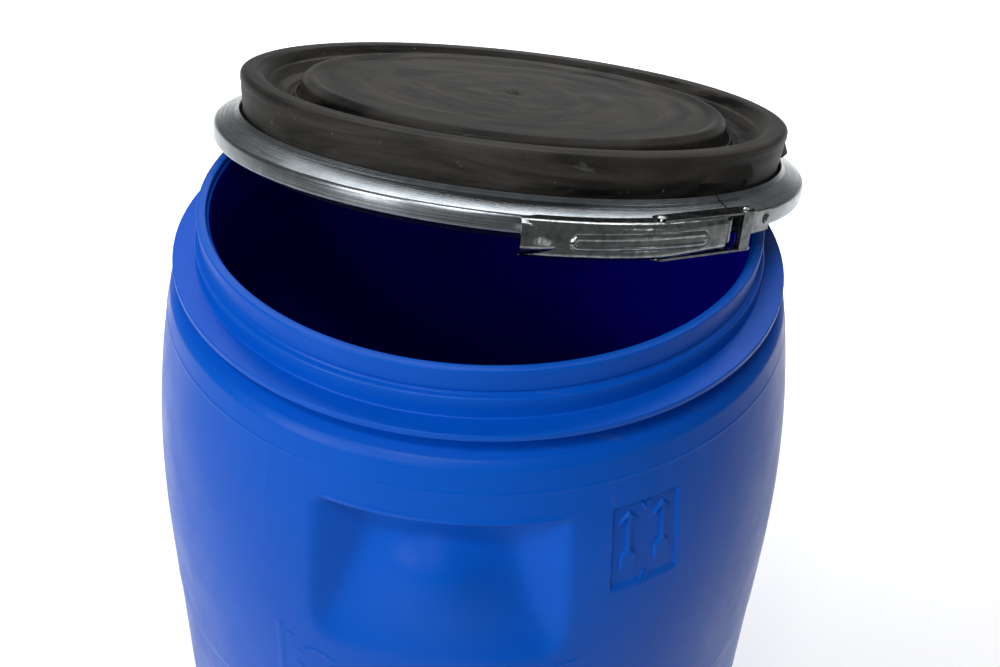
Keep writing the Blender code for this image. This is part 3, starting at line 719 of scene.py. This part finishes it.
# %% Levels and angles
barrel_levels = -stretch(
    (0.0600, 0.0720, 0.0040), (0.0720, 0.0765, 0.0005), (0.0765, 0.0925, 0.0027), (0.0925, 0.1050, 0.0007),
    (0.1050, 0.1660, 0.0013), (0.1660, 0.2160, 0.0030), (0.2160, 0.2300, 0.0010), (0.2300, 0.2600, 0.0013),
    (0.2600, 0.3160, 0.0140), (0.3160, 0.3240, 0.0020), (0.3240, 0.6000, 0.0460), (0.6000, 0.7600, 0.0200),
)
inner_levels = -stretch(
    (0.0560, 0.0900, 0.0070), (0.0900, 0.1080, 0.0025), (0.1080, 0.2200, 0.0100), (0.2200, 0.7600, 0.0900)
)
angles = np.radians(
    stretch(
        (-180.0, -175.0, 0.7), (-175.0, -126.0, 1.8), (-126.0, -122.0, 0.5), (-122.0, -112.0, 0.6),
        (-112.0, -76.0, 0.75), (-76.0, -67.8, 0.6), (-67.8, -53.8, 0.14), (-53.8, 62.0, 3.2),
        (62.0, 109.0, 1.8), (109.0, 173.0, 2.3), (173.0, 180.0, 0.7),
    )[:-1]
)
print(len(barrel_levels), "levels outside,", len(inner_levels), "inside,", len(angles), "angles")

# %% Body grid
outside = outer_radius(angles, barrel_levels[:, None])
inside = outer_radius(angles, inner_levels[:, None]) - WALL


def rows_of(radii, levels):
    """A profile's rows repeated round the axis."""
    return np.broadcast_to(np.asarray(radii)[:, None], (len(levels), len(angles))), np.asarray(levels)


sections = [
    rows_of(foot[::-1, 0], foot[::-1, 1]),
    (outside[::-1], barrel_levels[::-1]),
    rows_of(neck[:0:-1, 0], neck[:0:-1, 1]),
    rows_of(throat_radius[::-1], throat_level[::-1]),
    (inside, inner_levels),
    rows_of(under_floor[:, 0], under_floor[:, 1]),
]
radius = np.concatenate([section[0] for section in sections])
levels = np.concatenate([section[1] for section in sections])[:, None]
# The parting line of the mould leaves a thin ridge on the rim and on the flange.
PARTING_AZIMUTH = math.radians(175.8)
parting = np.exp(-(((angles - PARTING_AZIMUTH) * 0.21 / 0.0009) ** 2))
on_rim = (radius[:, :1] > 0.1945) & (radius[:, :1] < 0.2190) & (levels > -0.036)
height = levels + MOUTH_LEVEL + 0.0004 * parting * on_rim
body_points = np.stack([radius * np.cos(angles), radius * np.sin(angles), height], -1)
body_faces = grid_faces(*radius.shape, closed_columns=True)
blues = [blue_plastic, blue_painted_shade]
drum_body = make_piece(
    "drum_body_skin", body_points, body_faces, blues, "drum", ["drum_body"]
)

# %% The inner skin's deeper blue, as painted shade
polygons = drum_body.data.polygons
middles = np.empty((len(polygons), 3))
normals = np.empty((len(polygons), 3))
polygons.foreach_get("center", middles.ravel())
polygons.foreach_get("normal", normals.ravel())
from_axis, face_height = np.hypot(*middles.T[:2]), middles[:, 2]
looks_inwards = (middles[:, :2] * normals[:, :2]).sum(1) < 0
on_wall = looks_inwards & (face_height < MOUTH_LEVEL - 0.0040) & (from_axis < 0.2445)
on_floor = (normals[:, 2] > 0.5) & (face_height < 0.3)
on_collar = (from_axis > 0.1945) & (face_height > MOUTH_LEVEL - 0.0440)
# Inner wall and floor faces take the darker blue: painted shade for the drum's dim inside.
gets_painted_shade = (on_wall | on_floor) & ~on_collar
polygons.foreach_set("material_index", gets_painted_shade.astype(np.int32))
print("inner faces", int(gets_painted_shade.sum()), "of", len(polygons))

# %% [markdown]
# ## The lid
#
# The lid is one moulded shell: a crowned rim that grips the collar, a trough with a small rib in it, and a
# raised disc in the middle. Its profile is turned about the ring's axis as a closed loop, outside and
# inside together, so that the wall has its real thickness. Small wedges stand out of the skirt just above
# the ring, and each has a shallow window sunk below it.

# %% Lid profile
SKIRT = 0.2050
DISC_LEVEL = 0.0268
lid_corners = [
    (0.0, DISC_LEVEL, 0), (0.1490, DISC_LEVEL, 0.0030), (0.1535, 0.0289, 0.0020), (0.1568, 0.0290, 0.0028),
    (0.1612, 0.0248, 0.0040), (0.1626, 0.0128, 0.0006), (0.1640, 0.0126, 0.0006), (0.1644, 0.0152, 0.0005),
    (0.1660, 0.0152, 0.0005), (0.1672, 0.0116, 0.0006), (0.1694, 0.0114, 0.0006), (0.1716, 0.0138, 0.0012),
    (0.1800, 0.0150, 0.0022), (0.1842, 0.0214, 0.0010), (0.1868, 0.0222, 0.0010), (0.1908, 0.0292, 0.0012),
    (0.1930, 0.0303, 0.0020), (0.2020, 0.0301, 0.0030), (0.2057, 0.0286, 0.0026), (0.2056, 0.0240, 0.0010),
    (SKIRT, 0.0225, 0.0010),
]
lid_top = rounded_path(lid_corners, 4)
disc_radii = np.array(
    [0.0, 0.0008, 0.0016, 0.0024, 0.0034, 0.005, 0.008, 0.014, 0.024, 0.038, 0.055, 0.075, 0.098, 0.123]
)
disc = np.stack([disc_radii, np.full(len(disc_radii), DISC_LEVEL)], 1)
lid_top = np.concatenate([disc, lid_top[1:]])
skirt_levels = -stretch(
    (-0.0220, -0.0200, 0.0010), (-0.0200, -0.0118, 0.0010), (-0.0118, -0.0090, 0.00035),
    (-0.0090, -0.0022, 0.0017),
)
skirt = np.stack([SKIRT - 0.0020 * ramp(0.0225 - skirt_levels, 0, 0.022), skirt_levels], 1)
bead = rounded_path(
    [
        (0.2030, 0.0006, 0), (0.2030, -0.0004, 0.0010), (0.2172, -0.0073, 0.0010),
        (0.2185, -0.0086, 0.0008), (0.2185, -0.0165, 0.0008), (0.2070, -0.0167, 0.0006),
        (0.2047, -0.0045, 0.0020), (0.2012, -0.0020, 0.0010), (0.2012, 0.0210, 0.0004),
        (0.1914, 0.0210, 0.0008), (0.1886, 0.0120, 0.0020), (0.1850, 0.0098, 0.0020),
        (0.1660, 0.0084, 0.0020), (0.1585, 0.0222, 0.0020), (0.0, 0.0222, 0),
    ],
    3,
)
lid_profile = np.concatenate([lid_top[:-1], skirt, bead[1:]])
lid_runs = [(-10.0, 60.0, 0.35), (61.0, 169.0, 1.2), (170.0, 192.0, 0.5), (193.2, 349.0, 1.2)]
lid_angles = np.radians(np.concatenate([stretch(run) for run in lid_runs]))
print("lid profile", len(lid_profile), "points, turned in", len(lid_angles), "steps")

# %% Lugs
LUG_ANGLES = np.radians([4.05, 42.05, 181.05])
LUG_HALF, LUG_RISE, LUG_FOOT = 0.0272, 0.0047, 0.0108
LUG_CREST, LUG_CREST_GAIN = 0.0122, 0.0072
WINDOW_DEPTH = 0.0017


def lug_relief(angle, level):
    """A wedge that slopes out of the skirt to a sharp lower edge, with a sunk window below it."""
    relief = np.zeros(np.broadcast(angle, level).shape)
    for middle in LUG_ANGLES:
        along = ((angle - middle + math.pi) % (2 * math.pi) - math.pi) * SKIRT
        within = ramp(along, -LUG_HALF, 0.0012 - LUG_HALF) * (1 - ramp(along, LUG_HALF - 0.0012, LUG_HALF))
        crest = LUG_CREST + LUG_CREST_GAIN * ramp(along, -LUG_HALF, 0.014 - LUG_HALF)
        slope = np.clip((crest - level) / (crest - LUG_FOOT), 0, 1) * ramp(level, 0.0100, 0.0107)
        window = (1 - ramp(level, 0.0090, 0.0100)) * ramp(level, 0.0012, 0.0030)
        taper = 0.35 + 0.65 * ramp(along, -LUG_HALF, 0.02 - LUG_HALF)
        relief = relief + within * (LUG_RISE * slope * taper - WINDOW_DEPTH * window)
    return relief


print(len(LUG_ANGLES), "lugs,", 2000 * LUG_HALF, "mm long")

# %% [markdown]
# ### The lid's grid and its attributes
#
# The profile and the angles span the grid, and the lugs are added only to the rows of the skirt. The gate
# in the middle of the disc is a small nub in a shallow dish. Both attributes come from the same arrays as
# the points, so they fit the surface wherever it goes.

# %% Lid surface
GATE_HEIGHT = 0.0016
lid_radius = np.broadcast_to(lid_profile[:, :1], (len(lid_profile), len(lid_angles))).copy()
lid_level = np.broadcast_to(lid_profile[:, 1:], lid_radius.shape).copy()
skirt_start = len(lid_top) - 1
on_skirt = slice(skirt_start, skirt_start + len(skirt))
lid_radius[on_skirt] += lug_relief(lid_angles[None, :], lid_level[on_skirt])
on_disc = slice(0, len(disc_radii))
from_gate = lid_radius[on_disc]
nub = np.exp(-((from_gate / 0.0019) ** 2))
dish = np.exp(-(((from_gate - 0.0045) / 0.0026) ** 2))
lid_level[on_disc] += GATE_HEIGHT * nub - GATE_HEIGHT * dish
lid_points = in_lid_frame(lid_radius * np.cos(lid_angles), lid_radius * np.sin(lid_angles), lid_level)
print("lid", round(2000 * float(lid_radius.max()), 1), "mm wide with its bead and lugs")

# %% Lid attributes and mesh
CREST_RADIUS, CREST_HALF_WIDTH = 0.1592, 0.0022
CROWN_EDGE_RADIUS, CROWN_EDGE_LEVEL, CROWN_EDGE_WIDTH = 0.2052, 0.0288, 0.0011
twist = lid_angles[None, :] + 9.0 * lid_radius
# Crest and crown edge get paler and glossier: partly real wear, partly a painted highlight.
crest_wear_and_highlight = np.exp(-(((lid_radius - CREST_RADIUS) / CREST_HALF_WIDTH) ** 2)) * (lid_level > 0.0235)
from_edge = np.hypot(lid_radius - CROWN_EDGE_RADIUS, lid_level - CROWN_EDGE_LEVEL)
crown_wear_and_highlight = 0.7 * np.exp(-((from_edge / CROWN_EDGE_WIDTH) ** 2))
wear_and_highlight = np.stack([crest_wear_and_highlight + crown_wear_and_highlight, 0 * lid_radius, 0 * lid_radius], -1)
flow = np.stack([0.75 * np.cos(twist), 0.75 * np.sin(twist), 26.0 * lid_radius + 20.0 * lid_level], -1)
lid_faces = grid_faces(*lid_radius.shape, closed_columns=True)
make_piece(
    "lid_skin", lid_points, lid_faces, [black_plastic], "lid", ["lid_shell"],
    extra={"flow": flow, "wear_and_highlight": wear_and_highlight},
)

# %% [markdown]
# ## Sheet metal
#
# Everything on the closure is pressed sheet. A sheet is a grid with a thickness: the same grid, moved back
# along its normals, and a strip of faces round the border. Solidify does the same.

# %% Sheets with thickness


def sheet_mesh(grid, thickness):
    """Points and quads of a sheet: the grid, its copy moved back along the normals, and the border strip."""
    normal = np.cross(np.gradient(grid, axis=0), np.gradient(grid, axis=1))
    normal /= np.linalg.norm(normal, axis=-1, keepdims=True)
    rows, columns = grid.shape[:2]
    count = rows * columns
    front = grid_faces(rows, columns)
    index = np.arange(count).reshape(rows, columns)
    border = np.concatenate([index[0], index[1:, -1], index[-1, -2::-1], index[-2::-1, 0]])
    strip = np.stack([border[:-1], border[1:], border[1:] + count, border[:-1] + count], -1)
    points = np.concatenate([grid.reshape(-1, 3), (grid - thickness * normal).reshape(-1, 3)])
    return points, np.concatenate([front, front[:, ::-1] + count, strip])


# %% [markdown]
# ## The clamp ring
#
# The real ring is one springy band, open at the closure, and rolled to a wide V that pulls lid and drum
# together. It is drawn as two front arcs, which ride on the ring's two bodies, and a back arc that rides on
# no body and keeps its place.

# %% Ring arcs
RING_SHEET = 0.0015
STEPS_PER_RADIAN = 70
ring_path = rounded_path(
    [
        (0.2058, 0.0020, 0), (0.2088, -0.0009, 0.0014), (RING_OUTER, -0.0072, 0.0030),
        (RING_OUTER, -0.0188, 0.0030), (0.2079, -0.0260, 0),
    ],
    6,
)
RING_SPLIT, RING_SLIT = 0.0040 / RING_OUTER, 0.0016 / RING_OUTER
arcs = {
    "clamp_ring_left_arc": (-math.pi / 2, RING_SPLIT - RING_SLIT, "ring_left", ["clamp_ring_left"]),
    "clamp_ring_right_arc": (RING_SPLIT, math.pi / 2, "ring_right", ["clamp_ring_right"]),
    "clamp_ring_back_arc": (math.pi / 2, 1.5 * math.pi, None, []),
}
across = np.concatenate([[0], np.cumsum(np.linalg.norm(np.diff(ring_path, axis=0), axis=1))])
for name, (start, end, body, nodes) in arcs.items():
    turn = np.linspace(start, end, int((end - start) * STEPS_PER_RADIAN))[:, None]
    grid = in_lid_frame(ring_path[:, 0] * np.cos(turn), ring_path[:, 0] * np.sin(turn), ring_path[:, 1])
    points, faces = sheet_mesh(grid[:, ::-1], RING_SHEET)
    strip = np.stack(np.broadcast_arrays(turn * RING_OUTER, across[::-1], 0.0), -1).reshape(-1, 3)
    both_sides = {"strip": np.concatenate([strip, strip])}
    arc_piece = make_piece(
        name, points, faces, [galvanised], body, nodes, extra=both_sides
    )
    if body is None:
        left_end = Vector(in_lid_frame(0.0, -RING_OUTER, 0.0))
        right_end = Vector(in_lid_frame(0.0, RING_OUTER, 0.0))
        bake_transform(arc_piece)

# %% [markdown]
# ## The lever
#
# The lever is a curved channel, open towards the ring. Along it runs a long raised bead that stiffens the
# web, and its free end is pressed outwards into a beak that a thumb can get behind. A grid along and
# across the channel carries all of it: the cross-section is a rounded path, and bead and beak are heights
# added along the normal.

# %% Lever section
LEVER_CURVE = 0.2150
LEVER_MIDDLE = (0.0183, -0.0194)
LEVER_START, LEVER_END = math.radians(-37.6), math.radians(1.0)
LEVER_TOP, LEVER_LOW, LEVER_DEPTH, LEVER_SHEET = -0.0050, -0.0260, 0.0115, 0.0014
LEVER_BEND, BEND_STEPS, LEVER_TAPER = 0.0026, 6, 0.0030
half = (LEVER_TOP - LEVER_LOW) / 2
section_corners = [
    (-LEVER_DEPTH, half, 0), (0, half, LEVER_BEND), (0, -half, LEVER_BEND), (-LEVER_DEPTH, -half, 0)
]
section = rounded_path(section_corners, BEND_STEPS)
flange_steps = np.linspace(0, 1, 6)[1:-1, None]
web_steps = np.linspace(0, 1, 60)[1:-1, None]
web_start = BEND_STEPS + 1
channel = np.concatenate(
    [
        section[:1], section[0] + (section[1] - section[0]) * flange_steps, section[1 : web_start + 1],
        section[web_start] + (section[web_start + 1] - section[web_start]) * web_steps,
        section[web_start + 1 : -1], section[-2] + (section[-1] - section[-2]) * flange_steps, section[-1:],
    ]
)
print("lever section of", len(channel), "points")

# %% Bead and beak
lever_turn = np.linspace(LEVER_START, LEVER_END, 230)[:, None]
from_end = (lever_turn - LEVER_START) * LEVER_CURVE
rise = LEVER_TAPER * ramp(lever_turn, math.radians(-15.0), math.radians(-1.0))
share = (channel[:, 1] + half) / (2 * half)
height = LEVER_LOW + rise + (LEVER_TOP - LEVER_LOW - rise) * share
BEAD_START, BEAD_END, BEAD_HALF = 0.0320, 0.1262, 0.0037
bead_level = -0.0163 + 0.0014 * ramp(from_end, 0.02, 0.12)
past = np.maximum(np.maximum(BEAD_START + BEAD_HALF - from_end, from_end - BEAD_END + BEAD_HALF), 0)
bead_distance = BEAD_HALF - np.hypot(past, height - bead_level)
BEAK_LENGTH, BEAK_RISE = 0.0215, 0.0075
open_share = np.clip(1 - from_end / BEAK_LENGTH, 0, 1)
beak_crest = -0.0188 + 0.0010 * open_share
# A micrometre more keeps the next division from meeting a zero.
beak_half = np.where(height > beak_crest, 0.0128, 0.0066) * np.sqrt(open_share) + 1e-6
beak_across = np.clip(1 - np.abs(height - beak_crest) / beak_half, 0, 1)
beak_round = np.sqrt(1 - (1 - beak_across) ** 2)
beak = BEAK_RISE * open_share**0.8 * (0.35 * beak_across + 0.65 * beak_round)
bead = 0.0011 * ramp(bead_distance, -0.0006, 0.0005) - 0.0005 * ramp(bead_distance, 0.0007, 0.0022)
groove = 0.0004 * np.exp(-(((bead_distance + 0.0012) / 0.0006) ** 2))
print("bead", round(1000 * (BEAD_END - BEAD_START)), "mm long, beak", 1000 * BEAK_LENGTH, "mm")

# %% Lever mesh
out = channel[:, 0] + (bead - groove + beak) * ramp(channel[:, 0], -0.0012, -0.0002)
flange_trim = 1 - 0.55 * ramp(-from_end, -0.012, 0.0)
out = np.where(channel[:, 0] < -0.0027, out * flange_trim, out)
lever_radius = LEVER_CURVE + out
lever_out = LEVER_MIDDLE[0] + lever_radius * np.cos(lever_turn)
lever_round = LEVER_MIDDLE[1] + lever_radius * np.sin(lever_turn)
lever_grid = in_lid_frame(lever_out, lever_round, height)
points, faces = sheet_mesh(lever_grid, LEVER_SHEET)
make_piece("lever_channel", points, faces, [zinc], "lever", ["lever"], sharp=32)

# %% [markdown]
# ## Rolled eyes
#
# Each bracket's sheet is rolled round its pin, so from outside it shows as a short tube with a slit where
# the sheet comes back to the ring. The profile is a spiral strip seen from above, pulled up into a tube: a
# grid along the strip and up the pin.

# %% Rolled eyes
EYE_SHEET = 0.0013
EYE_START, EYE_END = -0.62 * math.pi, 1.05 * math.pi
TAIL_RADIAL, TAIL_ROUND = 0.2240, 0.0172


def rolled_eye(name, side, eye_radius, low, high, body):
    """A strip rolled round a pin: an arc of sheet that ends against the ring, as a grid along and up."""
    turn = np.linspace(EYE_START, EYE_END, 34)
    radial = PIN_LINE + eye_radius * np.cos(turn)
    around = side * (HALF_SPACING + eye_radius * np.sin(turn))
    tail_radial = np.linspace(radial[-1], TAIL_RADIAL, 5)[1:]
    tail_around = np.linspace(around[-1], side * TAIL_ROUND, 5)[1:]
    radial = np.concatenate([radial, tail_radial])[:, None]
    around = np.concatenate([around, tail_around])[:, None]
    grid = in_lid_frame(radial, around, np.linspace(low, high, 14))
    points, faces = sheet_mesh(grid if side > 0 else grid[:, ::-1], EYE_SHEET)
    make_piece(name, points, faces, [zinc], body, sharp=50)


rolled_eye("lever_bracket_eye", -1, 0.0050, -0.0212, -0.0068, "ring_left")
rolled_eye("hinge_bracket_eye", 1, 0.0040, -0.0262, -0.0048, "ring_right")

# %% [markdown]
# ## The small parts
#
# Pins, rivets, brackets, the link and the hidden gasket keep the frame's own shapes, which are already
# right for their size. They only need finishes: rubber for the gasket and bright zinc for the fittings.
# The shapes that a finer piece replaces get the finish of that piece, all but the body's.

# %% Finishes for the frame's own parts
node_finishes = {
    "lid_shell": black_plastic,
    "lid_gasket": rubber,
    "clamp_ring_left": galvanised,
    "clamp_ring_right": galvanised,
}
for name, node in frame["nodes"].items():
    if name != "drum_body":
        node.data.materials.clear()
        node.data.materials.append(node_finishes.get(name, zinc))
print(len(frame["nodes"]) - 1, "parts of the frame with a finish")
